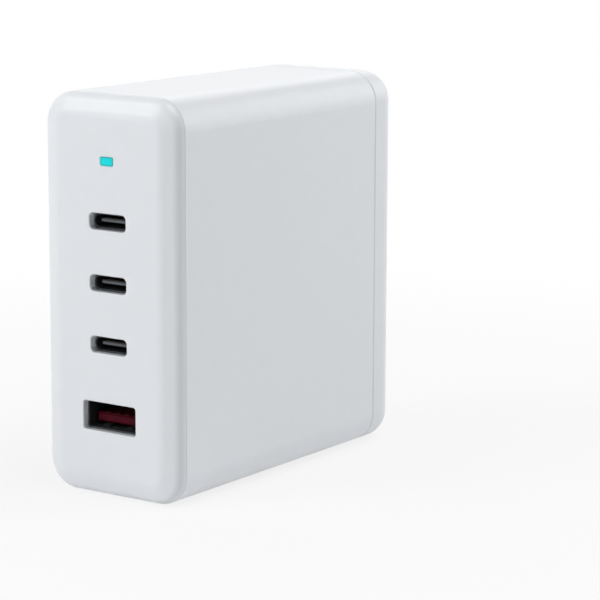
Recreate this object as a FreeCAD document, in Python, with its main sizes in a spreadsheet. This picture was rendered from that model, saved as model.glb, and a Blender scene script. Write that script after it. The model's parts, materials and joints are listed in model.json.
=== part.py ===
import FreeCAD, Part
import math
import os
import types

import Sketcher

# Desk charger with three USB-C ports and one USB-A port, standing on its narrow bottom.
# Frame: X across the width, Y along the depth with the ports towards -Y, Z up, millimetres.

SIZES = {
    # housing
    "body_width": 34.3,
    "body_depth": 78.8,
    "body_height": 81.7,
    "corner_radius": 6.5,
    "wall": 2.0,
    "front_wall": 2.2,
    "rear_wall": 2.2,
    "front_bevel_width": 4.1,
    "front_bevel_depth": 1.68,
    "front_bend": 4.0,
    "front_round": 2.5,
    "rear_round": 4.5,
    "front_cover_depth": 3.05,
    "rear_cover_depth": 8.2,
    "seam_bevel": 0.25,
    "lip_length": 4.0,
    "lip_wall": 1.2,
    "lip_gap": 0.1,
    "opening_bevel": 0.15,
    "rail_wall": 1.2,
    "rail_height": 1.8,
    "rail_gap": 0.1,
    # port layout, heights from the body's mid-height
    "middle_port_rise": 3.1,
    "port_pitch": 12.5,
    "led_rise": 12.15,
    "usb_a_drop": 14.8,
    "mouth_inset": 1.5,
    "port_gap": 0.13,
    "port_depth": 12.0,
    "insulator_depth": 4.5,
    "shell_wall": 0.3,
    "shell_fit": 0.05,
    "contact_thickness": 0.05,
    # USB-C receptacle
    "usb_c_width": 8.34,
    "usb_c_height": 2.56,
    "usb_c_slot_corner": 1.0,
    "usb_c_tongue_width": 6.69,
    "usb_c_tongue_height": 0.7,
    "usb_c_tongue_inset": 0.75,
    "usb_c_tongue_bevel": 0.15,
    "usb_c_contact_width": 0.26,
    "usb_c_contact_pitch": 0.5,
    "usb_c_contact_inset": 0.7,
    # USB-A receptacle
    "usb_a_width": 12.5,
    "usb_a_height": 5.12,
    "usb_a_corner": 0.5,
    "usb_a_tongue_width": 11.1,
    "usb_a_tongue_height": 1.84,
    "usb_a_tongue_drop": 0.8,
    "usb_a_tongue_inset": 1.6,
    "usb_a_tongue_bevel": 0.35,
    "usb_a_contact_width": 1.0,
    "usb_a_contact_pitch": 2.4,
    "usb_a_contact_inset": 1.0,
    # light window and its pipe
    "window_width": 3.1,
    "window_height": 1.7,
    "window_corner": 0.35,
    "window_gap": 0.04,
    "window_flange": 0.8,
    "window_flange_depth": 1.0,
    "pipe_inset": 0.3,
    "led_width": 2.0,
    "led_height": 1.25,
    "led_depth": 0.8,
    # boards
    "board_thickness": 1.6,
    "board_edge_gap": 0.2,
    "main_board_offset": 5.0,
    "main_board_end_gap": 0.3,
    # mains inlet in the rear cover
    "inlet_pitch": 8.6,
    "inlet_lobe_radius": 4.05,
    "inlet_waist": 6.2,
    "inlet_depth": 10.0,
    "inlet_rim": 0.8,
    "inlet_fit": 0.1,
    "inlet_nose_inset": 0.3,
    "inlet_wall": 1.2,
    "inlet_base": 3.7,
    "inlet_corner": 3.0,
    "inlet_flange": 2.0,
    "inlet_flange_thickness": 1.2,
    "pin_radius": 1.2,
    "pin_inset": 1.0,
    "pin_tip_round": 0.6,
    "pin_shoulder": 0.3,
    "pin_fit": 0.03,
    "tail_side": 1.0,
    "tail_run": 0.8,
    "tail_bend": 1.6,
    "tail_hole_gap": 0.1,
    "tail_reach": 1.0,
    # mains side of the main board, measured from its rear end and the mid-height
    "mains_row": 9.5,
    "fuse_radius": 4.2,
    "fuse_height": 7.7,
    "fuse_bevel": 0.4,
    "fuse_rise": 6.0,
    "x_capacitor_length": 18.0,
    "x_capacitor_thickness": 8.0,
    "x_capacitor_height": 14.0,
    "x_capacitor_round": 0.8,
    "x_capacitor_rise": 22.0,
    "choke_outer_radius": 7.2,
    "choke_inner_radius": 4.0,
    "choke_core_height": 6.5,
    "choke_core_bevel": 0.4,
    "choke_drop": 18.0,
    "choke_wire": 0.8,
    "choke_wire_gap": 0.05,
    "choke_turn_angle": 17.0,
    # middle of the main board, in one column along the height
    "middle_row": 2.5,
    "middle_gap": 0.8,
    "bulk_radius": 5.0,
    "bulk_height": 19.0,
    "can_bevel": 0.5,
    "can_crimp": 0.4,
    "can_crimp_height": 2.4,
    "bridge_length": 15.0,
    "bridge_thickness": 3.6,
    "bridge_height": 10.0,
    "bridge_round": 0.5,
    "bridge_hole_radius": 1.6,
    "core_rise": 2.0,
    "core_length": 24.0,
    "core_depth": 14.0,
    "core_height": 17.0,
    "core_plate": 3.6,
    "core_leg": 3.2,
    "core_post_radius": 4.0,
    "core_lift": 1.5,
    "bobbin_gap": 0.15,
    "bobbin_wall": 0.9,
    "bobbin_rail": 1.4,
    "winding_inset": 0.6,
    # low-voltage side, in one column behind the port board
    "outlet_row": 5.0,
    "inductor_side": 7.3,
    "inductor_height": 5.0,
    "inductor_round": 0.8,
    "outlet_can_radius": 3.15,
    "outlet_can_height": 9.0,
    "outlet_can_gap": 0.3,
    "disc_radius": 4.0,
    "disc_thickness": 3.6,
    "disc_bevel": 1.0,
    "disc_gap": 0.05,
    "disc_drop": 4.0,
    # back of the main board and the cooling stack
    "chip_height": 1.2,
    "chip_bevel": 0.2,
    "chip_row": 4.0,
    "chip_pitch": 12.0,
    "switch_side": 8.0,
    "control_side": 6.0,
    "rectifier_side": 5.0,
    "spreader_thickness": 0.8,
    "spreader_corner": 2.0,
    "sheet_end_gap": 2.3,
    "sheet_edge_gap": 7.8,
    "sheet_margin": 1.0,
    "sheet_thickness": 0.3,
    "pad_margin": 1.5,
}

USB_C_CONTACTS = 12
USB_A_CONTACTS = 4
CHOKE_TURNS = 7

# Edges count as flat, or as lying in a plane, within this length.
FLAT = 1e-4

doc = FreeCAD.newDocument("charger")
sub_parts = []


class Length:
    """A length that holds its number now and the sheet expression that gives it."""

    def __init__(self, number, text):
        self.number = number
        self.text = text

    def joined(self, other, sign, number):
        other_text = other.text if isinstance(other, Length) else str(other)
        return Length(number, f"({self.text} {sign} {other_text})")

    def __add__(self, other):
        return self.joined(other, "+", self.number + number_of(other))

    def __sub__(self, other):
        return self.joined(other, "-", self.number - number_of(other))

    def __mul__(self, other):
        return self.joined(other, "*", self.number * number_of(other))

    def __truediv__(self, other):
        return self.joined(other, "/", self.number / number_of(other))

    def __neg__(self):
        return Length(-self.number, f"(-1 * {self.text})")


def number_of(length):
    return length.number if isinstance(length, Length) else length


def make_sheet():
    """Writes the driving sizes to the sheet and returns them as lengths by name."""
    sheet = doc.addObject("Spreadsheet::Sheet", "sizes")
    lengths = {}
    for row, (name, number) in enumerate(SIZES.items(), 1):
        sheet.set(f"A{row}", name)
        sheet.set(f"B{row}", str(number))
        sheet.setAlias(f"B{row}", name)
        lengths[name] = Length(number, f"sizes.{name}")
    doc.recompute()
    return types.SimpleNamespace(**lengths)


size = make_sheet()

# Planes and centres that several pieces share.
half_width = size.body_width / 2
mid_height = size.body_height / 2
rear_face = size.body_depth / 2
front_face = -rear_face
front_seam = front_face + size.front_cover_depth
rear_seam = rear_face - size.rear_cover_depth
inner_width = size.body_width - size.wall * 2
inner_height = size.body_height - size.wall * 2
inner_radius = size.corner_radius - size.wall
lip_width = inner_width - size.lip_gap * 2
lip_height = inner_height - size.lip_gap * 2
lip_radius = inner_radius - size.lip_gap
cavity_width = lip_width - size.lip_wall * 2
cavity_height = lip_height - size.lip_wall * 2
cavity_radius = lip_radius - size.lip_wall
rear_lip_end = rear_seam - size.lip_length
mouth = front_face + size.mouth_inset
port_board_front = mouth + size.port_depth
port_board_back = port_board_front + size.board_thickness
board_end = rear_lip_end - size.main_board_end_gap
board_back = -half_width + size.wall + size.main_board_offset
board_face = board_back + size.board_thickness
mains_row = board_end - size.mains_row
middle_row = -size.middle_row
core_level = mid_height + size.core_rise
outlet_row = port_board_back + size.outlet_row
middle_port = mid_height + size.middle_port_rise
port_levels = [middle_port + size.port_pitch * step for step in (1, 0, -1)]
led_level = port_levels[0] + size.led_rise
usb_a_level = port_levels[-1] - size.usb_a_drop
usb_c_outer_width = size.usb_c_width + size.shell_wall * 2
usb_c_outer_height = size.usb_c_height + size.shell_wall * 2
usb_a_outer_width = size.usb_a_width + size.shell_wall * 2
usb_a_outer_height = size.usb_a_height + size.shell_wall * 2
insulator_front = size.port_depth - size.insulator_depth
inlet_front = size.inlet_depth + size.inlet_base
tail_depth = rear_face - inlet_front - size.tail_run - size.tail_bend
tail_hole = size.tail_side * math.sqrt(0.5) + size.tail_hole_gap

UPRIGHT = FreeCAD.Rotation(FreeCAD.Vector(0, 1, 0), 90)
UNDERSIDE = FreeCAD.Rotation(FreeCAD.Vector(0, 1, 0), -90)


# Bodies, sketches and their outlines

def new_body(label):
    body = doc.addObject("PartDesign::Body", label)
    sub_parts.append(body)
    return body


def place(item, x=None, y=None, z=None, turned=FreeCAD.Rotation()):
    """Puts an item's own origin at a point of the part's frame."""
    item.Placement = FreeCAD.Placement(FreeCAD.Vector(), turned)
    for axis, length in (("x", x), ("y", y), ("z", z)):
        if length is not None:
            item.setExpression(f"Placement.Base.{axis}", length.text)


def plane_sketch(body, name, role, out=None, across=None, up=None):
    """A sketch on one of the body's own planes, its origin moved by the given lengths."""
    sketch = body.newObject("Sketcher::SketchObject", f"{body.Name}_{name}")
    plane = [item for item in body.Origin.OriginFeatures if item.Role == role][0]
    sketch.AttachmentSupport = [(plane, "")]
    sketch.MapMode = "FlatFace"
    for axis, length in (("x", across), ("y", up), ("z", out)):
        if length is not None:
            sketch.setExpression(f"AttachmentOffset.Base.{axis}", length.text)
    return sketch


def facing_sketch(body, name, y=None, z=None, x=None):
    """A sketch that faces the front, at depth y."""
    return plane_sketch(body, name, "XZ_Plane", -y if y else None, x, z)


def lying_sketch(body, name, z=None, x=None, y=None):
    return plane_sketch(body, name, "XY_Plane", z, x, y)


def side_sketch(body, name, x=None, y=None, z=None):
    return plane_sketch(body, name, "YZ_Plane", x, y, z)


def dimension(sketch, length, kind, *places):
    index = sketch.addConstraint(Sketcher.Constraint(kind, *places, length.number))
    sketch.setExpression(f"Constraints[{index}]", length.text)


def segment(x0, y0, x1, y1):
    return Part.LineSegment(FreeCAD.Vector(x0, y0), FreeCAD.Vector(x1, y1))


def arc(x, y, radius, start, end):
    circle = Part.Circle(FreeCAD.Vector(x, y), FreeCAD.Vector(0, 0, 1), radius)
    return Part.ArcOfCircle(circle, math.radians(start), math.radians(end))


def rectangle(sketch, width, height):
    x = width.number / 2
    y = height.number / 2
    corners = [(-x, -y), (x, -y), (x, y), (-x, y)]
    for start, end in zip(corners, corners[1:] + corners[:1]):
        sketch.addGeometry(segment(*start, *end))
    for side in range(4):
        sketch.addConstraint(Sketcher.Constraint("Coincident", side, 2, (side + 1) % 4, 1))
        sketch.addConstraint(Sketcher.Constraint("Vertical" if side % 2 else "Horizontal", side))
    sketch.addConstraint(Sketcher.Constraint("Symmetric", 0, 1, 2, 1, -1, 1))
    dimension(sketch, width, "DistanceX", 0, 1, 0, 2)
    dimension(sketch, height, "DistanceY", 1, 1, 1, 2)
    return sketch


def rounded_rectangle(sketch, width, height, radius):
    x = width.number / 2
    y = height.number / 2
    r = radius.number
    sketch.addGeometry(segment(r - x, -y, x - r, -y))
    sketch.addGeometry(arc(x - r, r - y, r, -90, 0))
    sketch.addGeometry(segment(x, r - y, x, y - r))
    sketch.addGeometry(arc(x - r, y - r, r, 0, 90))
    sketch.addGeometry(segment(x - r, y, r - x, y))
    sketch.addGeometry(arc(r - x, y - r, r, 90, 180))
    sketch.addGeometry(segment(-x, y - r, -x, r - y))
    sketch.addGeometry(arc(r - x, r - y, r, 180, 270))
    for side in range(8):
        sketch.addConstraint(Sketcher.Constraint("Tangent", side, 2, (side + 1) % 8, 1))
    for side, kind in ((0, "Horizontal"), (2, "Vertical"), (4, "Horizontal"), (6, "Vertical")):
        sketch.addConstraint(Sketcher.Constraint(kind, side))
    for corner in (3, 5, 7):
        sketch.addConstraint(Sketcher.Constraint("Equal", 1, corner))
    sketch.addConstraint(Sketcher.Constraint("Symmetric", 0, 1, 4, 1, -1, 1))
    dimension(sketch, radius, "Radius", 1)
    dimension(sketch, width, "DistanceX", 6, 1, 2, 2)
    dimension(sketch, height, "DistanceY", 0, 1, 4, 2)
    return sketch


def stadium(sketch, width, height):
    """A flat slot with full-round ends."""
    r = height.number / 2
    x = width.number / 2 - r
    sketch.addGeometry(segment(-x, -r, x, -r))
    sketch.addGeometry(arc(x, 0, r, -90, 90))
    sketch.addGeometry(segment(x, r, -x, r))
    sketch.addGeometry(arc(-x, 0, r, 90, 270))
    for side in range(4):
        sketch.addConstraint(Sketcher.Constraint("Tangent", side, 2, (side + 1) % 4, 1))
    sketch.addConstraint(Sketcher.Constraint("Equal", 1, 3))
    sketch.addConstraint(Sketcher.Constraint("Horizontal", 0))
    sketch.addConstraint(Sketcher.Constraint("Symmetric", 1, 3, 3, 3, -1, 1))
    dimension(sketch, height / 2, "Radius", 1)
    dimension(sketch, width - height, "DistanceX", 3, 3, 1, 3)
    return sketch


def figure_eight(sketch, pitch, radius, waist):
    """Two round lobes, one above the other, joined by a straight waist."""
    x = waist.number / 2
    lobe = pitch.number / 2
    drop = math.sqrt(radius.number ** 2 - x ** 2)
    y = lobe - drop
    angle = math.degrees(math.asin(drop / radius.number))
    sketch.addGeometry(segment(x, -y, x, y))
    sketch.addGeometry(arc(0, lobe, radius.number, -angle, 180 + angle))
    sketch.addGeometry(segment(-x, y, -x, -y))
    sketch.addGeometry(arc(0, -lobe, radius.number, 180 - angle, 360 + angle))
    for side in range(4):
        sketch.addConstraint(Sketcher.Constraint("Coincident", side, 2, (side + 1) % 4, 1))
    sketch.addConstraint(Sketcher.Constraint("Vertical", 0))
    sketch.addConstraint(Sketcher.Constraint("Vertical", 2))
    sketch.addConstraint(Sketcher.Constraint("Equal", 1, 3))
    sketch.addConstraint(Sketcher.Constraint("PointOnObject", 1, 3, -2))
    sketch.addConstraint(Sketcher.Constraint("Symmetric", 1, 3, 3, 3, -1, 1))
    dimension(sketch, radius, "Radius", 1)
    dimension(sketch, pitch, "DistanceY", 3, 3, 1, 3)
    dimension(sketch, waist / 2, "DistanceX", -1, 1, 0, 1)
    dimension(sketch, waist / 2, "DistanceX", 2, 1, -1, 1)
    return sketch


def circle(sketch, radius):
    sketch.addGeometry(Part.Circle(FreeCAD.Vector(), FreeCAD.Vector(0, 0, 1), radius.number))
    sketch.addConstraint(Sketcher.Constraint("Coincident", 0, 3, -1, 1))
    dimension(sketch, radius, "Radius", 0)
    return sketch


# Features

def feature(body, kind, sketch, length=None, reverse=False):
    """A Pad or Pocket of one sketch, through everything where no length is given."""
    made = body.newObject(f"PartDesign::{kind}", f"{sketch.Name}_{kind.lower()}")
    made.Profile = sketch
    made.Reversed = reverse
    if length is None:
        made.Type = "ThroughAll"
    else:
        made.setExpression("Length", length.text)
    doc.recompute()
    return made


def pad(body, sketch, length, reverse=False):
    return feature(body, "Pad", sketch, length, reverse)


def pocket(body, sketch, length=None, reverse=False):
    before = body.Shape.Volume
    made = feature(body, "Pocket", sketch, length, reverse)
    if made.Shape.Volume >= before:
        raise RuntimeError(f"{made.Name} cuts nothing")
    return made


def edges_where(shape, wanted):
    return [f"Edge{number}" for number, edge in enumerate(shape.Edges, 1) if wanted(edge.BoundBox)]


def on_plane(axis, place_at):
    """A test for edges that lie in the plane where the axis has the given length."""
    def lies(box):
        low = getattr(box, f"{axis}Min")
        high = getattr(box, f"{axis}Max")
        return abs(low - place_at) < FLAT and abs(high - place_at) < FLAT
    return lies


def dress(body, kind, amount_name, amount, wanted):
    """A Fillet or Chamfer on the edges of the body's last feature that pass a test."""
    base = body.Tip
    names = edges_where(base.Shape, wanted)
    if not names:
        raise RuntimeError(f"{base.Name} has no edge to dress")
    made = body.newObject(f"PartDesign::{kind}", f"{base.Name}_{kind.lower()}")
    made.Base = (base, names)
    made.setExpression(amount_name, amount.text)
    doc.recompute()
    return made


def fillet(body, radius, wanted):
    return dress(body, "Fillet", "Radius", radius, wanted)


def chamfer(body, amount, wanted):
    return dress(body, "Chamfer", "Size", amount, wanted)


def slope(body, width, depth, wanted):
    """A chamfer that is wider across one face than it is deep along the other."""
    made = chamfer(body, depth, wanted)
    made.ChamferType = "Two distances"
    made.setExpression("Size2", width.text)
    doc.recompute()
    return made


# Housing

def body_outline(body, name, y):
    sketch = facing_sketch(body, name, y, mid_height)
    return rounded_rectangle(sketch, size.body_width, size.body_height, size.corner_radius)


def lip_outline(body, name, y):
    sketch = facing_sketch(body, name, y, mid_height)
    return rounded_rectangle(sketch, lip_width, lip_height, lip_radius)


def cavity_outline(body, name, y):
    sketch = facing_sketch(body, name, y, mid_height)
    return rounded_rectangle(sketch, cavity_width, cavity_height, cavity_radius)


def front_cover():
    """Cap with a pillow edge: a soft bend, a sloping band and a round that runs into the seam.

    A skirt behind it reaches back to the port board.
    """
    body = new_body("front_cover")
    edge_depth = size.front_bevel_depth + size.front_round
    pad(body, body_outline(body, "face", front_face), edge_depth + size.front_cover_depth, True)
    slope(body, size.front_bevel_width, size.front_bevel_depth, on_plane("Y", front_face.number))
    bevel_end = front_face + size.front_bevel_depth
    fillet(body, size.front_round, on_plane("Y", bevel_end.number))
    fillet(body, size.front_bend, on_plane("Y", front_face.number))
    behind = facing_sketch(body, "behind", front_seam, mid_height)
    pocket(body, rectangle(behind, size.body_width * 2, size.body_height * 2))
    pad(body, lip_outline(body, "skirt", front_seam), port_board_front - front_seam, True)
    cavity_depth = port_board_front - front_face - size.front_wall
    pocket(body, cavity_outline(body, "cavity", port_board_front), cavity_depth, True)
    for number, level in enumerate(port_levels, 1):
        slot = facing_sketch(body, f"usb_c_{number}", front_face, level)
        slot_width = usb_c_outer_width + size.port_gap * 2
        slot_height = usb_c_outer_height + size.port_gap * 2
        pocket(body, rounded_rectangle(slot, slot_width, slot_height, size.usb_c_slot_corner))
    slot = facing_sketch(body, "usb_a", front_face, usb_a_level)
    slot_width = usb_a_outer_width + size.port_gap * 2
    slot_height = usb_a_outer_height + size.port_gap * 2
    pocket(body, rounded_rectangle(slot, slot_width, slot_height, size.usb_a_corner + size.port_gap))
    slot = facing_sketch(body, "window", front_face, led_level)
    slot_width = size.window_width + size.window_gap * 2
    slot_height = size.window_height + size.window_gap * 2
    pocket(body, rounded_rectangle(slot, slot_width, slot_height, size.window_corner))
    in_front = on_plane("Y", front_face.number)
    widest = usb_a_outer_width.number / 2 + size.port_gap.number * 2

    def round_an_opening(box):
        return in_front(box) and box.XMin > -widest and box.XMax < widest

    chamfer(body, size.opening_bevel, round_an_opening)


def main_shell():
    """Sleeve open at both ends, with rails that hold the main board's long edges."""
    body = new_body("main_shell")
    pad(body, body_outline(body, "outside", front_seam), rear_seam - front_seam, True)
    chamfer(body, size.seam_bevel, lambda box: box.YLength < FLAT)
    inside = facing_sketch(body, "inside", front_seam, mid_height)
    pocket(body, rounded_rectangle(inside, inner_width, inner_height, inner_radius))
    board_middle = board_back + size.board_thickness / 2
    slot_width = size.board_thickness + size.rail_gap * 2
    root = size.wall / 2
    rail_length = board_end - port_board_back
    for name, side in (("lower", -1), ("upper", 1)):
        rail_middle = mid_height + (inner_height / 2 + root / 2 - size.rail_height / 2) * side
        rail = facing_sketch(body, f"{name}_rail", port_board_back, rail_middle, board_middle)
        rectangle(rail, slot_width + size.rail_wall * 2, size.rail_height + root)
        pad(body, rail, rail_length, True)
        slot_middle = mid_height + (inner_height / 2 - size.rail_height / 2) * side
        slot = facing_sketch(body, f"{name}_slot", port_board_back, slot_middle, board_middle)
        pocket(body, rectangle(slot, slot_width, size.rail_height), rail_length)


def rear_cover():
    """Cap with a rounded rear edge, a lip inside the sleeve and the inlet's opening."""
    body = new_body("rear_cover")
    pad(body, body_outline(body, "outside", rear_seam), size.rear_cover_depth, True)
    fillet(body, size.rear_round, on_plane("Y", rear_face.number))
    chamfer(body, size.seam_bevel, on_plane("Y", rear_seam.number))
    pad(body, lip_outline(body, "lip", rear_seam), size.lip_length)
    cavity_depth = rear_face - size.rear_wall - rear_lip_end
    pocket(body, cavity_outline(body, "cavity", rear_lip_end), cavity_depth)
    opening = facing_sketch(body, "inlet", rear_face, mid_height)
    grown = size.inlet_rim + size.inlet_fit
    figure_eight(opening, size.inlet_pitch, size.inlet_lobe_radius + grown, size.inlet_waist + grown * 2)
    pocket(body, opening, reverse=True)


def led_window():
    """Clear window with a flange behind the front wall and a light pipe back to the light."""
    body = new_body("led_window")
    place(body, y=front_face, z=led_level)
    face = facing_sketch(body, "face")
    rounded_rectangle(face, size.window_width, size.window_height, size.window_corner)
    pad(body, face, size.front_wall, True)
    flange = facing_sketch(body, "flange", size.front_wall)
    flange_width = size.window_width + size.window_flange * 2
    flange_height = size.window_height + size.window_flange * 2
    pad(body, rectangle(flange, flange_width, flange_height), size.window_flange_depth, True)
    pipe_start = size.front_wall + size.window_flange_depth
    pipe_length = port_board_front - size.led_depth - front_face - pipe_start
    pipe = facing_sketch(body, "pipe", pipe_start)
    rectangle(pipe, size.window_width - size.pipe_inset * 2, size.window_height - size.pipe_inset * 2)
    pad(body, pipe, pipe_length, True)


# Receptacles: each has its origin at the middle of its mouth

def contact_strips(label, columns, pitch, width, inset, levels):
    """Contact strips on a tongue, each a thin box from near its tip to its root."""
    strips = []
    for face, level in levels.items():
        for column in range(columns):
            strip = doc.addObject("Part::Box", f"{label}_{face}_{column + 1}")
            strip.setExpression("Length", width.text)
            strip.setExpression("Width", (insulator_front - inset).text)
            strip.setExpression("Height", size.contact_thickness.text)
            start = pitch * (column - (columns - 1) / 2) - width / 2
            place(strip, start, mouth + inset, level)
            strips.append(strip)
    group = doc.addObject("Part::Compound", label)
    group.Links = strips
    sub_parts.append(group)


def usb_c_receptacle(number, level):
    shell = new_body(f"usb_c_shell_{number}")
    place(shell, y=mouth, z=level)
    outside = facing_sketch(shell, "outside")
    pad(shell, stadium(outside, usb_c_outer_width, usb_c_outer_height), size.port_depth, True)
    pocket(shell, stadium(facing_sketch(shell, "inside"), size.usb_c_width, size.usb_c_height))
    tongue = new_body(f"usb_c_tongue_{number}")
    place(tongue, y=mouth, z=level)
    root = facing_sketch(tongue, "root", insulator_front)
    stadium(root, size.usb_c_width - size.shell_fit * 2, size.usb_c_height - size.shell_fit * 2)
    pad(tongue, root, size.insulator_depth, True)
    blade = facing_sketch(tongue, "blade", size.usb_c_tongue_inset)
    rectangle(blade, size.usb_c_tongue_width, size.usb_c_tongue_height)
    pad(tongue, blade, insulator_front - size.usb_c_tongue_inset, True)
    chamfer(tongue, size.usb_c_tongue_bevel, on_plane("Y", size.usb_c_tongue_inset.number))
    upper = level + size.usb_c_tongue_height / 2
    lower = level - size.usb_c_tongue_height / 2 - size.contact_thickness
    inset = size.usb_c_tongue_inset + size.usb_c_contact_inset
    contact_strips(f"usb_c_contacts_{number}", USB_C_CONTACTS, size.usb_c_contact_pitch,
                   size.usb_c_contact_width, inset, {"upper": upper, "lower": lower})


def usb_a_receptacle():
    shell = new_body("usb_a_shell")
    place(shell, y=mouth, z=usb_a_level)
    outside = facing_sketch(shell, "outside")
    rounded_rectangle(outside, usb_a_outer_width, usb_a_outer_height, size.usb_a_corner)
    pad(shell, outside, size.port_depth, True)
    inside = facing_sketch(shell, "inside")
    inside_corner = size.usb_a_corner - size.shell_wall
    pocket(shell, rounded_rectangle(inside, size.usb_a_width, size.usb_a_height, inside_corner))
    tongue = new_body("usb_a_tongue")
    place(tongue, y=mouth, z=usb_a_level)
    root = facing_sketch(tongue, "root", insulator_front)
    root_width = size.usb_a_width - size.shell_fit * 2
    root_height = size.usb_a_height - size.shell_fit * 2
    rounded_rectangle(root, root_width, root_height, inside_corner)
    pad(tongue, root, size.insulator_depth, True)
    blade = facing_sketch(tongue, "blade", size.usb_a_tongue_inset, -size.usb_a_tongue_drop)
    rectangle(blade, size.usb_a_tongue_width, size.usb_a_tongue_height)
    pad(tongue, blade, insulator_front - size.usb_a_tongue_inset, True)
    chamfer(tongue, size.usb_a_tongue_bevel, on_plane("Y", size.usb_a_tongue_inset.number))
    upper = usb_a_level + size.usb_a_tongue_height / 2 - size.usb_a_tongue_drop
    inset = size.usb_a_tongue_inset + size.usb_a_contact_inset
    contact_strips("usb_a_contacts", USB_A_CONTACTS, size.usb_a_contact_pitch,
                   size.usb_a_contact_width, inset, {"upper": upper})


# Boards

def port_board():
    """Board across the sleeve, held between the front cover's skirt and the rails' ends."""
    body = new_body("port_board")
    outline = facing_sketch(body, "outline", port_board_front, mid_height)
    width = inner_width - size.board_edge_gap * 2
    height = inner_height - size.board_edge_gap * 2
    corner = inner_radius - size.board_edge_gap
    pad(body, rounded_rectangle(outline, width, height, corner), size.board_thickness, True)


def status_led():
    body = new_body("status_led")
    chip = facing_sketch(body, "chip", port_board_front, led_level)
    pad(body, rectangle(chip, size.led_width, size.led_height), size.led_depth)


def main_board():
    """Board along the sleeve, its long edges in the rails, drilled for the inlet's tails."""
    body = new_body("main_board")
    length = board_end - port_board_back
    middle = port_board_back + length / 2
    outline = side_sketch(body, "outline", board_back, middle, mid_height)
    pad(body, rectangle(outline, length, inner_height - size.board_edge_gap * 2), size.board_thickness)
    for number, side in enumerate((1, -1), 1):
        height = mid_height + size.inlet_pitch / 2 * side
        hole = side_sketch(body, f"hole_{number}", board_back, tail_depth, height)
        pocket(body, circle(hole, tail_hole), size.board_thickness, True)


# Mains inlet: its origin is the middle of its mouth in the rear face

def inlet_housing():
    """Moulding with a figure-eight recess, a flange behind the rear wall and a nose through it."""
    body = new_body("inlet_housing")
    place(body, y=rear_face, z=mid_height)
    width = (size.inlet_lobe_radius + size.inlet_wall) * 2
    height = width + size.inlet_pitch
    block = facing_sketch(body, "block", -size.rear_wall)
    pad(body, rounded_rectangle(block, width, height, size.inlet_corner), inlet_front - size.rear_wall)
    flange = facing_sketch(body, "flange", -size.rear_wall)
    flange_width = width + size.inlet_flange * 2
    flange_height = height + size.inlet_flange * 2
    rounded_rectangle(flange, flange_width, flange_height, size.inlet_corner)
    pad(body, flange, size.inlet_flange_thickness)
    nose = facing_sketch(body, "nose", -size.rear_wall)
    nose_radius = size.inlet_lobe_radius + size.inlet_rim
    figure_eight(nose, size.inlet_pitch, nose_radius, size.inlet_waist + size.inlet_rim * 2)
    pad(body, nose, size.rear_wall - size.inlet_nose_inset, True)
    recess = facing_sketch(body, "recess")
    figure_eight(recess, size.inlet_pitch, size.inlet_lobe_radius, size.inlet_waist)
    pocket(body, recess, size.inlet_depth, True)
    for number, side in enumerate((1, -1), 1):
        hole = facing_sketch(body, f"hole_{number}", -size.inlet_depth, size.inlet_pitch / 2 * side)
        hole_radius = size.pin_radius + size.pin_shoulder + size.pin_fit
        pocket(body, circle(hole, hole_radius), size.inlet_base, True)


def tail_path(body):
    """Path of a pin's tail: forward out of the moulding, then round a bend to the main board."""
    sketch = lying_sketch(body, "tail_path")
    bend = size.tail_bend.number
    start = -inlet_front.number
    turn = start - size.tail_run.number
    reach = size.tail_reach - board_back
    sketch.addGeometry(segment(0, start, 0, turn))
    sketch.addGeometry(arc(-bend, turn, bend, -90, 0))
    sketch.addGeometry(segment(-bend, turn - bend, -reach.number, turn - bend))
    sketch.addConstraint(Sketcher.Constraint("Tangent", 0, 2, 1, 2))
    sketch.addConstraint(Sketcher.Constraint("Tangent", 1, 1, 2, 1))
    sketch.addConstraint(Sketcher.Constraint("Vertical", 0))
    sketch.addConstraint(Sketcher.Constraint("Horizontal", 2))
    sketch.addConstraint(Sketcher.Constraint("PointOnObject", 0, 1, -2))
    dimension(sketch, inlet_front, "DistanceY", 0, 1, -1, 1)
    dimension(sketch, size.tail_run, "DistanceY", 0, 2, 0, 1)
    dimension(sketch, size.tail_bend, "Radius", 1)
    dimension(sketch, reach, "DistanceX", 2, 2, -1, 1)
    return sketch


def inlet_pin(number, side):
    """Round pin with a shoulder held in the moulding and a square tail bent to the board."""
    body = new_body(f"inlet_pin_{number}")
    place(body, y=rear_face, z=mid_height + size.inlet_pitch / 2 * side)
    shaft = facing_sketch(body, "shaft", -size.pin_inset)
    pad(body, circle(shaft, size.pin_radius), size.inlet_depth - size.pin_inset)
    fillet(body, size.pin_tip_round, on_plane("Y", -size.pin_inset.number))
    root = facing_sketch(body, "root", -size.inlet_depth)
    pad(body, circle(root, size.pin_radius + size.pin_shoulder), size.inlet_base)
    section = facing_sketch(body, "tail_section", -inlet_front)
    rectangle(section, size.tail_side, size.tail_side)
    path = tail_path(body)
    doc.recompute()
    tail = body.newObject("PartDesign::AdditivePipe", f"{body.Name}_tail")
    tail.Profile = section
    tail.Spine = (path, ["Edge1", "Edge2", "Edge3"])
    doc.recompute()


# Parts on the main board: each is made standing on its own XY plane and turned onto the board

def stand(item, y, z):
    place(item, board_face, y, z, UPRIGHT)


def can(label, radius, height, y, z):
    """Electrolytic capacitor: a drawn can with a bevelled top and a crimp near its foot."""
    body = new_body(label)
    stand(body, y, z)
    pad(body, circle(lying_sketch(body, "foot"), radius), size.can_crimp_height)
    neck = lying_sketch(body, "neck", size.can_crimp_height)
    pad(body, circle(neck, radius - size.can_crimp), size.can_crimp * 2)
    barrel = lying_sketch(body, "barrel", size.can_crimp_height + size.can_crimp * 2)
    pad(body, circle(barrel, radius), height - size.can_crimp_height - size.can_crimp * 2)
    chamfer(body, size.can_bevel, on_plane("Z", height.number))


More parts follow.
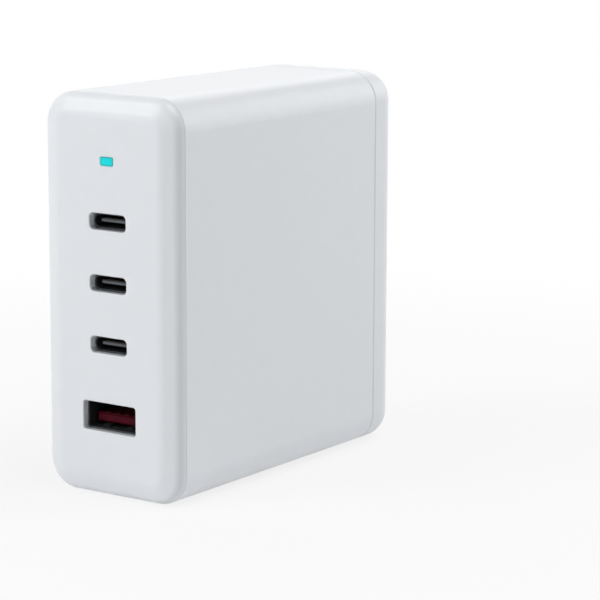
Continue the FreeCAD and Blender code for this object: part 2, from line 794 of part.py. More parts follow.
def moulded_block(label, length, thickness, height, edge_round, y, z):
    """A potted or moulded block with rounded upright edges and a bevelled top."""
    body = new_body(label)
    stand(body, y, z)
    foot = lying_sketch(body, "foot")
    pad(body, rounded_rectangle(foot, length, thickness, edge_round), height)
    chamfer(body, edge_round / 2, on_plane("Z", height.number))
    return body


def mains_side():
    fuse = new_body("fuse")
    stand(fuse, mains_row, mid_height + size.fuse_rise)
    pad(fuse, circle(lying_sketch(fuse, "foot"), size.fuse_radius), size.fuse_height)
    chamfer(fuse, size.fuse_bevel, on_plane("Z", size.fuse_height.number))
    moulded_block("x_capacitor", size.x_capacitor_length, size.x_capacitor_thickness,
                  size.x_capacitor_height, size.x_capacitor_round,
                  mains_row, mid_height + size.x_capacitor_rise)
    choke()


def middle_column():
    """Bulk capacitors below and above the transformer, and the bridge rectifier on top of the column."""
    first = size.core_length / 2 + size.middle_gap + size.bulk_radius
    second = first + size.bulk_radius * 2 + size.middle_gap
    for number, height in enumerate((core_level - first, core_level - second, core_level + first), 1):
        can(f"bulk_capacitor_{number}", size.bulk_radius, size.bulk_height, middle_row, height)
    bridge_level = core_level + first + size.bulk_radius + size.middle_gap + size.bridge_thickness / 2
    bridge = moulded_block("bridge_rectifier", size.bridge_thickness, size.bridge_length,
                           size.bridge_height, size.bridge_round, middle_row, bridge_level)
    hole = side_sketch(bridge, "hole", -size.bridge_thickness, None, size.bridge_height / 2)
    pocket(bridge, circle(hole, size.bridge_hole_radius), reverse=True)


def choke():
    """Common-mode choke: a ring core lying flat, with two windings on opposite sides."""
    height = mid_height - size.choke_drop
    wire_space = size.choke_wire + size.choke_wire_gap
    core = new_body("choke_core")
    stand(core, mains_row, height)
    ring = lying_sketch(core, "ring", wire_space)
    pad(core, circle(ring, size.choke_outer_radius), size.choke_core_height)
    eye = lying_sketch(core, "eye", wire_space)
    pocket(core, circle(eye, size.choke_inner_radius), reverse=True)
    chamfer(core, size.choke_core_bevel, lambda box: box.ZLength < FLAT)
    section_length = size.choke_outer_radius - size.choke_inner_radius
    hole_height = size.choke_core_height + size.choke_wire_gap * 2
    inner_start = size.choke_inner_radius - size.choke_wire_gap
    turns = []
    for side in (0, 180):
        for turn in range(CHOKE_TURNS):
            angle = size.choke_turn_angle * (turn - (CHOKE_TURNS - 1) / 2) + side
            name = f"choke_turn_{len(turns) + 1}"
            hole = turn_block(f"{name}_hole", section_length + size.choke_wire_gap * 2,
                              hole_height, inner_start, size.choke_wire)
            outside = turn_block(f"{name}_outside", section_length + wire_space * 2,
                                 size.choke_core_height + wire_space * 2, inner_start - size.choke_wire)
            loop = doc.addObject("Part::Cut", name)
            loop.Base = outside
            loop.Tool = hole
            loop.setExpression("Placement.Rotation.Angle", angle.text)
            turns.append(loop)
    winding = doc.addObject("Part::Compound", "choke_winding")
    winding.Links = turns
    stand(winding, mains_row, height)
    sub_parts.append(winding)


def turn_block(name, length, height, start, lift=None):
    """Box that is one wire wide, reaching outwards from the given radius."""
    block = doc.addObject("Part::Box", name)
    block.setExpression("Length", length.text)
    block.setExpression("Width", size.choke_wire.text)
    block.setExpression("Height", height.text)
    place(block, start, size.choke_wire / -2, lift)
    return block


def transformer():
    """Ferrite core with a round middle post, the bobbin on the post and its winding."""
    window_height = size.core_height - size.core_plate * 2
    floor = size.core_lift + size.core_plate
    core = new_body("transformer_core")
    stand(core, middle_row, core_level)
    block = lying_sketch(core, "block", size.core_lift)
    pad(core, rectangle(block, size.core_length, size.core_depth), size.core_height)
    window = facing_sketch(core, "window", -size.core_depth, floor + window_height / 2)
    pocket(core, rectangle(window, size.core_length - size.core_leg * 2, window_height))
    pad(core, circle(lying_sketch(core, "post", floor), size.core_post_radius), window_height)

    bobbin = new_body("transformer_bobbin")
    stand(bobbin, middle_row, core_level)
    flange_width = size.core_length - size.core_leg * 2 - size.bobbin_gap * 2
    flange_depth = size.core_depth + size.bobbin_gap * 2 + size.bobbin_rail * 2
    barrel_radius = size.core_post_radius + size.bobbin_gap + size.bobbin_wall
    upper = floor + window_height - size.bobbin_wall
    lower_flange = lying_sketch(bobbin, "lower", floor)
    pad(bobbin, rectangle(lower_flange, flange_width, flange_depth), size.bobbin_wall)
    pad(bobbin, circle(lying_sketch(bobbin, "barrel", floor), barrel_radius), window_height)
    upper_flange = lying_sketch(bobbin, "upper", upper)
    pad(bobbin, rectangle(upper_flange, flange_width, flange_depth), size.bobbin_wall)
    for name, side in (("front", -1), ("rear", 1)):
        rail_middle = (flange_depth / 2 - size.bobbin_rail / 2) * side
        rail = lying_sketch(bobbin, f"{name}_rail", None, None, rail_middle)
        pad(bobbin, rectangle(rail, flange_width, size.bobbin_rail), floor + size.bobbin_wall)
    bore = lying_sketch(bobbin, "bore", floor)
    pocket(bobbin, circle(bore, size.core_post_radius + size.bobbin_gap), window_height, True)

    winding = new_body("transformer_winding")
    stand(winding, middle_row, core_level)
    outer_radius = size.core_length / 2 - size.core_leg - size.winding_inset
    winding_height = window_height - size.bobbin_wall * 2
    base = floor + size.bobbin_wall
    pad(winding, circle(lying_sketch(winding, "coil", base), outer_radius), winding_height)
    eye = lying_sketch(winding, "eye", base)
    pocket(winding, circle(eye, barrel_radius + size.bobbin_gap), reverse=True)


def outlet_side():
    for number, level in enumerate(port_levels, 1):
        moulded_block(f"output_inductor_{number}", size.inductor_side, size.inductor_side,
                      size.inductor_height, size.inductor_round, outlet_row, level)
    room_top = port_levels[-1] - size.inductor_side / 2 - size.outlet_can_gap
    room_bottom = size.wall + size.rail_height + size.outlet_can_gap
    pitch = (room_top - room_bottom) / len(port_levels)
    for number in range(len(port_levels)):
        height = room_top - pitch * (number + 0.5)
        can(f"output_capacitor_{number + 1}", size.outlet_can_radius, size.outlet_can_height,
            outlet_row, height)
    disc = new_body("y_capacitor")
    stand(disc, mains_row, mid_height - size.disc_drop)
    middle = size.disc_radius + size.disc_gap
    edge = side_sketch(disc, "disc", size.disc_thickness / -2, None, middle)
    pad(disc, circle(edge, size.disc_radius), size.disc_thickness)
    chamfer(disc, size.disc_bevel, lambda box: box.XLength < FLAT)


def chip(label, side, y, z):
    body = new_body(label)
    place(body, board_back, y, z, UNDERSIDE)
    pad(body, rectangle(lying_sketch(body, "foot"), side, side), size.chip_height)
    chamfer(body, size.chip_bevel, on_plane("Z", size.chip_height.number))


def cooling():
    """Chips behind the main board, and the pad, sheet and spreader that take their heat to the shell."""
    chips = (("control_chip", size.control_side, 1), ("power_switch", size.switch_side, 0),
             ("sync_rectifier", size.rectifier_side, -1))
    for label, side, step in chips:
        chip(label, side, -size.chip_row, mid_height + size.chip_pitch * step)
    wall_face = size.wall - half_width
    sheet_face = wall_face + size.spreader_thickness
    pad_face = sheet_face + size.sheet_thickness
    chip_face = board_back - size.chip_height
    board_middle = (port_board_back + board_end) / 2
    margin = size.sheet_margin * 2
    sheet_length = board_end - port_board_back - size.sheet_end_gap * 2
    sheet_height = inner_height - size.sheet_edge_gap * 2
    plate("heat_spreader", wall_face, sheet_length - margin, sheet_height - margin,
          size.spreader_thickness, board_middle)
    plate("insulation_sheet", sheet_face, sheet_length, sheet_height, size.sheet_thickness, board_middle)
    pad_length = size.switch_side + size.pad_margin * 2
    pad_height = size.chip_pitch * 2 + size.switch_side + size.pad_margin * 2
    plate("thermal_pad", pad_face, pad_length, pad_height, chip_face - pad_face, -size.chip_row)


def plate(label, x, length, height, thickness, y):
    body = new_body(label)
    outline = side_sketch(body, "outline", x, y, mid_height)
    pad(body, rounded_rectangle(outline, length, height, size.spreader_corner), thickness)


def write_parts():
    """Stops on any failed object, then writes each sub-part to its own file."""
    doc.recompute()
    failed = [item.Name for item in doc.Objects if "Invalid" in item.State or "Error" in item.State]
    bad = [item.Label for item in sub_parts if item.Shape.isNull() or not item.Shape.isValid()]
    if failed or bad:
        raise RuntimeError(f"failed objects {failed}, bad shapes {bad}")
    os.makedirs("parts", exist_ok=True)
    for item in sub_parts:
        item.Shape.exportStep(f"parts/{item.Label}.step")


front_cover()
main_shell()
rear_cover()
led_window()
for port_number, port_level in enumerate(port_levels, 1):
    usb_c_receptacle(port_number, port_level)
usb_a_receptacle()
port_board()
status_led()
inlet_housing()
inlet_pin(1, 1)
inlet_pin(2, -1)
main_board()
mains_side()
middle_column()
transformer()
outlet_side()
cooling()
write_parts()
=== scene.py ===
import json
import math

import bpy
from mathutils import Matrix, Vector


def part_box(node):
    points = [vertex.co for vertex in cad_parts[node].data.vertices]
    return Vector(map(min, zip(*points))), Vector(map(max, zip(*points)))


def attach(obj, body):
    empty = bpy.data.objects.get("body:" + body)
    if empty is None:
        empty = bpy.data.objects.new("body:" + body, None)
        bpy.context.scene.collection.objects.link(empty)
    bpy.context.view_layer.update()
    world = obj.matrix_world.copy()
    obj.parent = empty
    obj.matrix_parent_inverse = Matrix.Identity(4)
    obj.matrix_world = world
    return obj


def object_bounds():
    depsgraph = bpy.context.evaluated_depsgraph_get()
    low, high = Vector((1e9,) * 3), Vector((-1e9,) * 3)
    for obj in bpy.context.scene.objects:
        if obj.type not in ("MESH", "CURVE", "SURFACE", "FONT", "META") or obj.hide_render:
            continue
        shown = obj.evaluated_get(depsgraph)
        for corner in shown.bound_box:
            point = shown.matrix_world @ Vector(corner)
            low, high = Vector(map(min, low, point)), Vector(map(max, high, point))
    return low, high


# Desk charger that stands on its narrow bottom: front at -Y, mains inlet at +Y, metres throughout.
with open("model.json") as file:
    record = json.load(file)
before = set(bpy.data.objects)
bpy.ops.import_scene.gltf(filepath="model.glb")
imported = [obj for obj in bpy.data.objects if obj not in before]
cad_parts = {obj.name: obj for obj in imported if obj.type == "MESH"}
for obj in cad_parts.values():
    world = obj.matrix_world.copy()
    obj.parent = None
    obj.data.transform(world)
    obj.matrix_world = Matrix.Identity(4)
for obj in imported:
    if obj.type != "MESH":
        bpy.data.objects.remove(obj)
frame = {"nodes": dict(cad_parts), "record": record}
cad_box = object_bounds()
nodes = frame["nodes"]

MM = 0.001


# Colours and nodes

def linear(hex_colour):
    """An sRGB hex colour as linear RGBA."""
    channels = [int(hex_colour[start:start + 2], 16) / 255 for start in (0, 2, 4)]
    return [c / 12.92 if c <= 0.04045 else ((c + 0.055) / 1.055) ** 2.4 for c in channels] + [1.0]


def per(millimetres):
    """The texture scale at which one feature measures this many millimetres."""
    return 1 / (millimetres * MM)


def add(tree, kind, inputs=None, stops=None, **settings):
    """Adds a node: inputs are values or sockets to link from, a tuple of them where one socket takes
    several, and stops are the places and colours of a ramp's two ends."""
    node = tree.nodes.new(kind)
    for name, value in settings.items():
        setattr(node, name, value)
    for name, value in (inputs or {}).items():
        for source in value if isinstance(value, tuple) else (value,):
            if isinstance(source, bpy.types.NodeSocket):
                tree.links.new(source, node.inputs[name])
            else:
                node.inputs[name].default_value = source
    if stops:
        for element, (place, colour) in zip(node.color_ramp.elements, stops):
            element.position = place
            element.color = linear(colour)
    return node


def new_finish(name, constants):
    """A material with its constants on the shader's own sockets; returns it, its tree and its shader."""
    material = bpy.data.materials.new(name)
    material.use_nodes = True
    tree = material.node_tree
    shader = tree.nodes["Principled BSDF"]
    for socket, value in constants.items():
        shader.inputs[socket].default_value = value
    return material, tree, shader


def dress(tree, shader, colour, roughness, height=None, depth_mm=0.0):
    """Links a colour, a roughness (its pattern, low and high) and a bump height, if any, to the shader."""
    tree.links.new(colour, shader.inputs["Base Color"])
    pattern, low, high = roughness
    spread = add(tree, "ShaderNodeMapRange", {"Value": pattern, "To Min": low, "To Max": high})
    tree.links.new(spread.outputs["Result"], shader.inputs["Roughness"])
    if height:
        bump = add(tree, "ShaderNodeBump", {"Height": height, "Distance": depth_mm * MM})
        tree.links.new(bump.outputs["Normal"], shader.inputs["Normal"])


# Finishes that show from outside

def gloss_polycarbonate():
    """White polycarbonate from a polished mould: satin gloss with a faint ripple from the flow."""
    material, tree, shader = new_finish("gloss_polycarbonate", {"IOR": 1.58})
    place = add(tree, "ShaderNodeTexCoord").outputs["Object"]
    flow = add(tree, "ShaderNodeTexNoise", {"Vector": place, "Scale": per(3.5), "Detail": 3.0})
    ripple = add(tree, "ShaderNodeTexNoise", {"Vector": place, "Scale": per(1.6), "Detail": 1.0})
    tint = add(tree, "ShaderNodeValToRGB", {"Fac": flow.outputs["Fac"]},
               stops=[(0.0, "ebeef2"), (1.0, "eef1f4")])
    dress(tree, shader, tint.outputs["Color"], (flow.outputs["Fac"], 0.29, 0.35),
          ripple.outputs["Fac"], depth_mm=0.0008)
    return material


# The window's face in millimetres, and the share that keeps the painted shade at its ends weaker than along
# its long edges.
WINDOW_WIDTH = 3.1
WINDOW_HEIGHT = 1.7
WINDOW_END_SHADE_SHARE = 0.88


def lit_light_pipe():
    """Clear acrylic light pipe, lit cyan from behind: even glow in the middle, with shade painted into the
    glow along its edge.
    """
    material, tree, shader = new_finish("lit_light_pipe", {
        "IOR": 1.49, "Specular IOR Level": 0.25, "Emission Strength": 0.6})
    low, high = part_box("led_window")
    middle = [-(low.x + high.x) / 2, 0, -(low.z + high.z) / 2]
    place = add(tree, "ShaderNodeTexCoord").outputs["Object"]
    centred = add(tree, "ShaderNodeMapping", {"Vector": place, "Location": middle})
    face = add(tree, "ShaderNodeMapping", {
        "Vector": centred.outputs["Vector"],
        "Scale": [per(WINDOW_WIDTH) * WINDOW_END_SHADE_SHARE, 0, per(WINDOW_HEIGHT)]})
    painted_shade_from_middle = add(tree, "ShaderNodeTexVoronoi", {
        "Vector": face.outputs["Vector"], "Scale": 1.0, "Randomness": 0.0}, distance="CHEBYCHEV")
    # The ramp darkens the glow towards the window's edge: this is painted shade.
    glow = add(tree, "ShaderNodeValToRGB", {"Fac": painted_shade_from_middle.outputs["Distance"]},
               stops=[(0.3, "00b8ba"), (0.47, "0a9698")])
    grain = add(tree, "ShaderNodeTexNoise", {"Vector": place, "Scale": per(0.4)})
    tree.links.new(glow.outputs["Color"], shader.inputs["Emission Color"])
    dress(tree, shader, glow.outputs["Color"], (grain.outputs["Fac"], 0.12, 0.25))
    return material


def drawn_stainless_in_painted_shade():
    """Stainless strip drawn to a sleeve: dull metal with fine lines along the drawing direction; its grey
    is darkened far below bare steel, painted shade for the inside of the port.
    """
    material, tree, shader = new_finish("drawn_stainless_in_painted_shade", {"Metallic": 1.0})
    place = add(tree, "ShaderNodeTexCoord").outputs["Object"]
    along = add(tree, "ShaderNodeMapping", {"Vector": place, "Scale": [per(0.12), per(6), per(0.12)]})
    lines = add(tree, "ShaderNodeTexNoise", {
        "Vector": along.outputs["Vector"], "Scale": 1.0, "Detail": 3.0})
    # Both colours are much darker than bare steel: painted shade for the port's inside.
    tint = add(tree, "ShaderNodeValToRGB", {"Fac": lines.outputs["Fac"]},
               stops=[(0.3, "46484b"), (0.7, "545659")])
    dress(tree, shader, tint.outputs["Color"], (lines.outputs["Fac"], 0.5, 0.65),
          lines.outputs["Fac"], depth_mm=0.002)
    return material


# A moulded colour drifts over this many grains, and the roughness by this much each way.
DRIFT_GRAINS = 12
ROUGH_SPREAD = 0.08


def moulded(name, dark, light, grain_mm, rough, depth_mm, shine=0.5):
    """Moulded or cast plastic: even colour with a fine grain from the wall that it set against."""
    material, tree, shader = new_finish(name, {"IOR": 1.55, "Specular IOR Level": shine})
    place = add(tree, "ShaderNodeTexCoord").outputs["Object"]
    grain = add(tree, "ShaderNodeTexNoise", {"Vector": place, "Scale": per(grain_mm), "Detail": 4.0})
    flow = add(tree, "ShaderNodeTexNoise", {"Vector": place, "Scale": per(grain_mm * DRIFT_GRAINS)})
    tint = add(tree, "ShaderNodeValToRGB", {"Fac": flow.outputs["Fac"]},
               stops=[(0.3, dark), (0.7, light)])
    dress(tree, shader, tint.outputs["Color"],
          (grain.outputs["Fac"], rough - ROUGH_SPREAD, rough + ROUGH_SPREAD),
          grain.outputs["Fac"], depth_mm)
    return material


def plated(name, dark, light, patch_mm, rough_low, rough_high):
    """Thin bright plating: soft patches of shine, with the base metal's grain under it."""
    material, tree, shader = new_finish(name, {"Metallic": 1.0})
    place = add(tree, "ShaderNodeTexCoord").outputs["Object"]
    patches = add(tree, "ShaderNodeTexNoise", {"Vector": place, "Scale": per(patch_mm), "Detail": 3.0})
    tint = add(tree, "ShaderNodeValToRGB", {"Fac": patches.outputs["Fac"]},
               stops=[(0.3, dark), (0.7, light)])
    dress(tree, shader, tint.outputs["Color"], (patches.outputs["Fac"], rough_low, rough_high),
          patches.outputs["Fac"], depth_mm=0.001)
    return material


# Finishes inside the housing

def solder_mask():
    """Glass-epoxy board under green solder mask: copper areas show as paler, slightly raised patches."""
    material, tree, shader = new_finish("green_solder_mask", {"IOR": 1.5})
    place = add(tree, "ShaderNodeTexCoord").outputs["Object"]
    copper = add(tree, "ShaderNodeTexVoronoi", {"Vector": place, "Scale": per(5)}, distance="CHEBYCHEV")
    weave = add(tree, "ShaderNodeTexNoise", {"Vector": place, "Scale": per(0.5), "Detail": 2.0})
    tint = add(tree, "ShaderNodeValToRGB", {"Fac": copper.outputs["Color"]},
               stops=[(0.49, "14512f"), (0.51, "1f6a40")])
    dress(tree, shader, tint.outputs["Color"], (weave.outputs["Fac"], 0.29, 0.4),
          tint.outputs["Color"], depth_mm=0.02)
    return material


def sintered(name, dark, light, grain_mm):
    """Pressed and sintered powder: matt dark body with a sandy grain."""
    material, tree, shader = new_finish(name, {"IOR": 1.6})
    place = add(tree, "ShaderNodeTexCoord").outputs["Object"]
    grains = add(tree, "ShaderNodeTexVoronoi", {"Vector": place, "Scale": per(grain_mm)})
    tint = add(tree, "ShaderNodeValToRGB", {"Fac": grains.outputs["Distance"]},
               stops=[(0.1, dark), (0.8, light)])
    dress(tree, shader, tint.outputs["Color"], (grains.outputs["Distance"], 0.55, 0.75),
          grains.outputs["Distance"], depth_mm=0.01)
    return material


# A wave texture's bands repeat after this many of its own units.
WAVE_PERIOD = 2 * math.pi / 20


def wound(name, dark, light, turn_mm, metallic, rough):
    """Wire or tape laid in turns: even bands across the winding's axis, each with its own sheen."""
    material, tree, shader = new_finish(name, {"Metallic": metallic})
    place = add(tree, "ShaderNodeTexCoord").outputs["Object"]
    turns = add(tree, "ShaderNodeTexWave", {
        "Vector": place, "Scale": per(turn_mm) * WAVE_PERIOD, "Distortion": 0.4}, bands_direction="X")
    tint = add(tree, "ShaderNodeValToRGB", {"Fac": turns.outputs["Fac"]},
               stops=[(0.1, dark), (0.7, light)])
    dress(tree, shader, tint.outputs["Color"], (turns.outputs["Fac"], rough, rough + 0.15),
          turns.outputs["Fac"], depth_mm=0.05)
    return material


def drawn_can(name, dark, light, metallic, rough):
    """Aluminium drawn to a can, bare or sleeved, or rolled to a sheet: faint lines and a soft shine."""
    material, tree, shader = new_finish(name, {"Metallic": metallic})
    place = add(tree, "ShaderNodeTexCoord").outputs["Object"]
    along = add(tree, "ShaderNodeMapping", {"Vector": place, "Scale": [per(0.3), per(5), per(5)]})
    rings = add(tree, "ShaderNodeTexNoise", {
        "Vector": along.outputs["Vector"], "Scale": 1.0, "Detail": 2.0})
    tint = add(tree, "ShaderNodeValToRGB", {"Fac": rings.outputs["Fac"]},
               stops=[(0.3, dark), (0.7, light)])
    dress(tree, shader, tint.outputs["Color"], (rings.outputs["Fac"], rough, rough + 0.12),
          rings.outputs["Fac"], depth_mm=0.004)
    return material


def make_finishes():
    """One finish for each material slot of the record; grains, patches, turns and depths in millimetres."""
    return {
        "white_plastic": gloss_polycarbonate(),
        "window_cyan": lit_light_pipe(),
        "shell_steel": drawn_stainless_in_painted_shade(),
        # Liquid-crystal polymer with glass: dull grey, no grain to see.
        "tongue_black": moulded("dark_crystal_polymer", "505457", "5d6164", 0.2, 0.45, 0.003),
        # Dyed nylon: deep red that hardly shines.
        "tongue_red": moulded("red_moulded_nylon", "430816", "500c1a", 0.25, 0.5, 0.003, 0.08),
        # Gold over bronze: warm metal with a soft shine.
        "contact_gold": plated("gold_plated_bronze", "98835a", "b09b70", 0.6, 0.29, 0.42),
        "board_green": solder_mask(),
        # Phosphor cast in resin: smooth pale yellow.
        "status_led": moulded("yellow_phosphor_cap", "d9d48c", "ebe7b0", 0.15, 0.3, 0.002),
        # Nylon from an eroded mould: black with a slight tooth.
        "inlet_black": moulded("black_moulded_nylon", "18191b", "232527", 0.3, 0.5, 0.006),
        # Nickel over brass: bright metal, almost a mirror.
        "pin_nickel": plated("bright_nickel_plate", "b4b1aa", "cfccc6", 1.5, 0.12, 0.25),
        # Thermoset: dull brown.
        "fuse_case": moulded("brown_thermoset", "3a2a20", "4b372a", 0.3, 0.5, 0.004),
        # Flame-safe polyester box: even yellow, half matt.
        "film_yellow": moulded("yellow_flame_safe_box", "c69a22", "d8ae33", 0.4, 0.4, 0.004),
        # Fired ferrite: near black and sandy.
        "ferrite_grey": sintered("sintered_ferrite", "2a2a2c", "3b3b3e", 0.35),
        # Enamelled copper: red-brown turns with a wet shine.
        "copper_enamel": wound("enamelled_copper_wire", "8a3f1c", "b5612f", 0.4, 0.9, 0.25),
        # Polyester tape: yellow with a soft shine, in broad turns.
        "winding_tape": wound("yellow_polyester_tape", "c8a32a", "e0bd45", 8.0, 0.0, 0.35),
        # Phenolic: plain black, half matt.
        "bobbin_black": moulded("black_phenolic", "17181a", "222325", 0.3, 0.45, 0.004),
        # Epoxy moulded round a chip: matt black.
        "package_black": moulded("black_epoxy_moulding", "161617", "202021", 0.15, 0.6, 0.004),
        # Shrink sleeve on a can: smooth dark blue.
        "can_sleeve": drawn_can("dark_shrink_sleeve", "151a2c", "20263d", 0.0, 0.3),
        # Bare can: pale metal with faint rings.
        "can_aluminium": drawn_can("bare_drawn_aluminium", "b9bbbd", "d2d4d5", 1.0, 0.22),
        # Pressed iron powder: grey and sandy.
        "inductor_grey": sintered("pressed_iron_powder", "48484b", "636366", 0.25),
        # Dipped epoxy: glossy blue, a little uneven.
        "disc_blue": moulded("blue_dipped_epoxy", "1c4aa0", "2a5cba", 0.8, 0.3, 0.01),
        # Rolled sheet: pale metal with faint lines.
        "spreader_aluminium": drawn_can("rolled_aluminium", "b6b8ba", "cbcdcf", 1.0, 0.3),
        # Polyester film: smooth white.
        "sheet_film": moulded("white_polyester_film", "d5d6d2", "e2e3df", 2.0, 0.3, 0.002),
        # Filled silicone: grey, with no shine.
        "pad_grey": moulded("grey_filled_silicone", "838892", "959aa3", 0.5, 0.75, 0.01),
    }


def paint_nodes(finishes):
    """Gives each CAD node the finish of its material slot."""
    for part in frame["record"]["subparts"]:
        for slot in nodes[part["node"]].material_slots:
            slot.material = finishes[part["material_slot"]]


# Pieces that repeat

# The USB-A shell's wall, its springs, and how far behind the shell's mouth they start.
SHELL_WALL = 0.3 * MM
SPRING_SIZES = {
    "Length": 5.2 * MM,
    "Width": 1.7 * MM,
    "Thickness": 0.22 * MM,
    "Bow": 0.4 * MM,
    "Spacing": 6.0 * MM,
}
SPRING_SEGMENTS = 12
SPRING_INSET = 1.4 * MM


def leaf_spring_tree():
    """Two pairs of leaf springs that bow towards each other from facing walls."""
    tree = bpy.data.node_groups.new("leaf_springs", "GeometryNodeTree")
    for name in list(SPRING_SIZES) + ["Wall Rise"]:
        tree.interface.new_socket(name, in_out="INPUT", socket_type="NodeSocketFloat")
    tree.interface.new_socket("Centre", in_out="INPUT", socket_type="NodeSocketVector")
    tree.interface.new_socket("Finish", in_out="INPUT", socket_type="NodeSocketMaterial")
    tree.interface.new_socket("Geometry", in_out="OUTPUT", socket_type="NodeSocketGeometry")
    given = add(tree, "NodeGroupInput").outputs

    # The curve's handle dips twice as far as the curve itself.
    half_length = add(tree, "ShaderNodeMath", {0: given["Length"], 1: 0.5}, operation="MULTIPLY")
    dip = add(tree, "ShaderNodeMath", {0: given["Bow"], 1: -2.0}, operation="MULTIPLY")
    handle = add(tree, "ShaderNodeCombineXYZ", {"Y": half_length.outputs[0], "Z": dip.outputs[0]})
    end = add(tree, "ShaderNodeCombineXYZ", {"Y": given["Length"]})
    line = add(tree, "GeometryNodeCurveQuadraticBezier", {
        "Resolution": SPRING_SEGMENTS, "Start": [0, 0, 0], "Middle": handle.outputs[0],
        "End": end.outputs[0]})
    section = add(tree, "GeometryNodeCurvePrimitiveQuadrilateral", {
        "Width": given["Width"], "Height": given["Thickness"]})
    leaf = add(tree, "GeometryNodeCurveToMesh", {
        "Curve": line.outputs["Curve"], "Profile Curve": section.outputs["Curve"], "Fill Caps": True})

    step = add(tree, "ShaderNodeCombineXYZ", {"X": given["Spacing"]})
    first = add(tree, "ShaderNodeVectorMath", {0: step.outputs[0], "Scale": -0.5}, operation="SCALE")
    places = add(tree, "GeometryNodeMeshLine", {
        "Count": 2, "Start Location": first.outputs[0], "Offset": step.outputs[0]})
    pair = add(tree, "GeometryNodeInstanceOnPoints", {
        "Points": places.outputs["Mesh"], "Instance": leaf.outputs["Mesh"]})
    rise = add(tree, "ShaderNodeCombineXYZ", {"Z": given["Wall Rise"]})
    upper = add(tree, "GeometryNodeTransform", {
        "Geometry": pair.outputs["Instances"], "Translation": rise.outputs[0]})
    lower = add(tree, "GeometryNodeTransform", {
        "Geometry": upper.outputs["Geometry"], "Rotation": [0, math.pi, 0]})
    four = add(tree, "GeometryNodeJoinGeometry", {
        "Geometry": (upper.outputs["Geometry"], lower.outputs["Geometry"])})
    placed = add(tree, "GeometryNodeTransform", {
        "Geometry": four.outputs["Geometry"], "Translation": given["Centre"]})
    real = add(tree, "GeometryNodeRealizeInstances", {"Geometry": placed.outputs["Geometry"]})
    dressed = add(tree, "GeometryNodeSetMaterial", {
        "Geometry": real.outputs["Geometry"], "Material": given["Finish"]})
    add(tree, "NodeGroupOutput", {"Geometry": dressed.outputs["Geometry"]})
    return tree


def repeated_piece(name, tree, sizes):
    """Runs a node tree with its sizes and keeps what it makes as a plain mesh on the body."""
    piece = bpy.data.objects.new(name, bpy.data.meshes.new(name))
    bpy.context.scene.collection.objects.link(piece)
    maker = piece.modifiers.new("maker", "NODES")
    maker.node_group = tree
    for socket in tree.interface.items_tree:
        if socket.in_out == "INPUT":
            maker[socket.identifier] = sizes[socket.name]
    made = bpy.data.meshes.new_from_object(piece.evaluated_get(bpy.context.evaluated_depsgraph_get()))
    piece.modifiers.remove(maker)
    piece.data = made
    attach(piece, "root")


def usb_a_springs(finishes):
    """Springs that grip the plug: bent strips of the shell's own steel on its upper and lower walls."""
    low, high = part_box("usb_a_shell")
    half_height = (high.z - low.z) / 2 - SHELL_WALL
    sizes = dict(SPRING_SIZES)
    sizes["Wall Rise"] = half_height - SPRING_SIZES["Thickness"] / 2
    sizes["Centre"] = [(low.x + high.x) / 2, low.y + SPRING_INSET, (low.z + high.z) / 2]
    sizes["Finish"] = finishes["shell_steel"]
    repeated_piece("usb_a_springs", leaf_spring_tree(), sizes)


# Stage, light and camera

# The floor's side, its drop below the object and how far out its shading shows, in metres; the share of
# that shading which is kept beside the object; and the strength of the even light from all round.
FLOOR_SIDE = 4.0
FLOOR_DROP = 0.05 * MM
SHADOW_REACH = 0.25
SHADOW_SHARE = 0.22
SKY_FILL = 0.1


def seen_directly(tree):
    """1 for what the camera sees itself, in gloss or through clear parts, 0 for the light that falls."""
    path = add(tree, "ShaderNodeLightPath").outputs
    gloss = add(tree, "ShaderNodeMath", {0: path["Is Camera Ray"], 1: path["Is Glossy Ray"]},
                operation="MAXIMUM")
    seen = add(tree, "ShaderNodeMath", {0: gloss.outputs[0], 1: path["Is Transmission Ray"]},
               operation="MAXIMUM")
    return seen.outputs[0]


def white_paper():
    """Matt white paper: it shows the object's shadow and fades to pure white where it is seen far off."""
    material = bpy.data.materials.new("white_paper_floor")
    material.use_nodes = True
    tree = material.node_tree
    tree.nodes.clear()
    place = add(tree, "ShaderNodeTexCoord").outputs["Object"]
    near = add(tree, "ShaderNodeMapping", {"Vector": place, "Scale": [1 / SHADOW_REACH] * 3})
    nearness = add(tree, "ShaderNodeTexGradient", {"Vector": near.outputs["Vector"]},
                   gradient_type="SPHERICAL")
    white = add(tree, "ShaderNodeMapRange", {
        "Value": nearness.outputs["Fac"], "To Min": 1.0, "To Max": 1.0 - SHADOW_SHARE})
    share = add(tree, "ShaderNodeMapRange", {
        "Value": seen_directly(tree), "To Min": 0.0, "To Max": white.outputs["Result"]})
    paper = add(tree, "ShaderNodeBsdfDiffuse", {"Color": linear("e9e9ea")})
    glow = add(tree, "ShaderNodeEmission", {"Strength": 1.0})
    both = add(tree, "ShaderNodeMixShader", {
        0: share.outputs[0], 1: paper.outputs[0], 2: glow.outputs[0]})
    add(tree, "ShaderNodeOutputMaterial", {"Surface": both.outputs[0]})
    return material


def make_floor():
    """Plain white floor that the object stands on."""
    half = FLOOR_SIDE / 2
    outline = ((-half, -half), (half, -half), (half, half), (-half, half))
    mesh = bpy.data.meshes.new("floor")
    mesh.from_pydata([(x, y, -FLOOR_DROP) for x, y in outline], [], [(0, 1, 2, 3)])
    mesh.materials.append(white_paper())
    floor = bpy.data.objects.new("floor", mesh)
    bpy.context.scene.collection.objects.link(floor)


def make_sky():
    """White surroundings where they are seen, and a low even fill where they light the object."""
    world = bpy.data.worlds.new("studio")
    world.use_nodes = True
    bpy.context.scene.world = world
    tree = world.node_tree
    strength = add(tree, "ShaderNodeMapRange", {
        "Value": seen_directly(tree), "To Min": SKY_FILL, "To Max": 1.0})
    background = tree.nodes["Background"]
    background.inputs["Color"].default_value = linear("ffffff")
    tree.links.new(strength.outputs["Result"], background.inputs["Strength"])


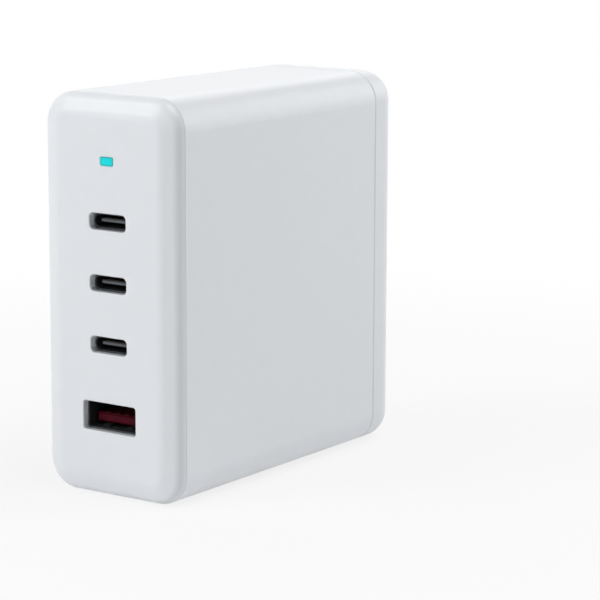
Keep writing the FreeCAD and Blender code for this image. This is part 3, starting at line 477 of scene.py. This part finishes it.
def direction(azimuth, elevation):
    """Unit vector from the object; azimuth 0 is in front of it and 90 on its right."""
    a = math.radians(azimuth)
    e = math.radians(elevation)
    return Vector((math.sin(a) * math.cos(e), -math.cos(a) * math.cos(e), math.sin(e)))


# Soft square panels round the object: azimuth and elevation in degrees, side in metres, power in watts,
# and whether the panel shows in gloss. The low ones don't, because there they would turn the top white.
PANELS = {
    "right_high_panel": (90, 70, 0.58, 3.58, True),
    "left_panel": (-39, 38, 0.42, 1.75, True),
    "left_back_panel": (-150, 30, 0.42, 0.43, True),
    "right_back_panel": (156, 26, 0.42, 0.58, True),
    "front_low_panel": (-25, 12, 0.42, 2.92, False),
    "right_low_panel": (135, 12, 0.42, 2.35, False),
    "left_low_panel": (-120, 12, 0.42, 1.5, False),
}
PANEL_DISTANCE = 0.9


def soft_panel(name, azimuth, elevation, side, watts, in_gloss):
    """A soft lamp that faces the object's middle."""
    lamp = bpy.data.lights.new(name, "AREA")
    lamp.shape = "SQUARE"
    lamp.size = side
    lamp.energy = watts
    panel = bpy.data.objects.new(name, lamp)
    middle = (cad_box[0] + cad_box[1]) / 2
    towards = direction(azimuth, elevation)
    panel.location = middle + towards * PANEL_DISTANCE
    panel.rotation_euler = towards.to_track_quat("Z", "Y").to_euler()
    panel.visible_camera = False
    panel.visible_glossy = in_gloss
    bpy.context.scene.collection.objects.link(panel)


# The view, fitted to the outline, the seams and the ports of the charger: sensor in millimetres, picture
# and focal length in pixels, angles in degrees, what the camera takes in from near to far, and the aim
# point on the object's upright axis with how far it lies to the right, below and ahead of the camera.
SENSOR_WIDTH = 36.0
IMAGE_SIDE = 600
FOCAL_PIXELS = 2526.46
VIEW_YAW = 34.859
VIEW_PITCH = 10.637
VIEW_ROLL = -0.219
VIEW_NEAR = 0.01
VIEW_FAR = 20.0
AIM_HEIGHT = 40.83 * MM
AIM_OFFSET = Vector((-15.731, -5.844, 534.872)) * MM


def make_camera():
    """Camera whose right, down and forward axes carry the aim point to its offset in the picture."""
    lens = bpy.data.cameras.new("camera")
    lens.sensor_width = SENSOR_WIDTH
    lens.lens = SENSOR_WIDTH * FOCAL_PIXELS / IMAGE_SIDE
    lens.clip_start = VIEW_NEAR
    lens.clip_end = VIEW_FAR
    forward = -direction(VIEW_YAW, VIEW_PITCH)
    yaw = math.radians(VIEW_YAW)
    right = Vector((math.cos(yaw), math.sin(yaw), 0))
    down = forward.cross(right)
    roll = math.radians(VIEW_ROLL)
    right, down = (right * math.cos(roll) + down * math.sin(roll),
                   down * math.cos(roll) - right * math.sin(roll))
    camera = bpy.data.objects.new("camera", lens)
    turn = Matrix((right, -down, -forward)).transposed()
    offset = right * AIM_OFFSET.x + down * AIM_OFFSET.y + forward * AIM_OFFSET.z
    camera.matrix_world = Matrix.Translation(Vector((0, 0, AIM_HEIGHT)) - offset) @ turn.to_4x4()
    bpy.context.scene.collection.objects.link(camera)
    bpy.context.scene.camera = camera


finishes = make_finishes()
paint_nodes(finishes)
usb_a_springs(finishes)
make_floor()
make_sky()
for name, settings in PANELS.items():
    soft_panel(name, *settings)
make_camera()
bpy.context.scene.view_settings.view_transform = "Standard"
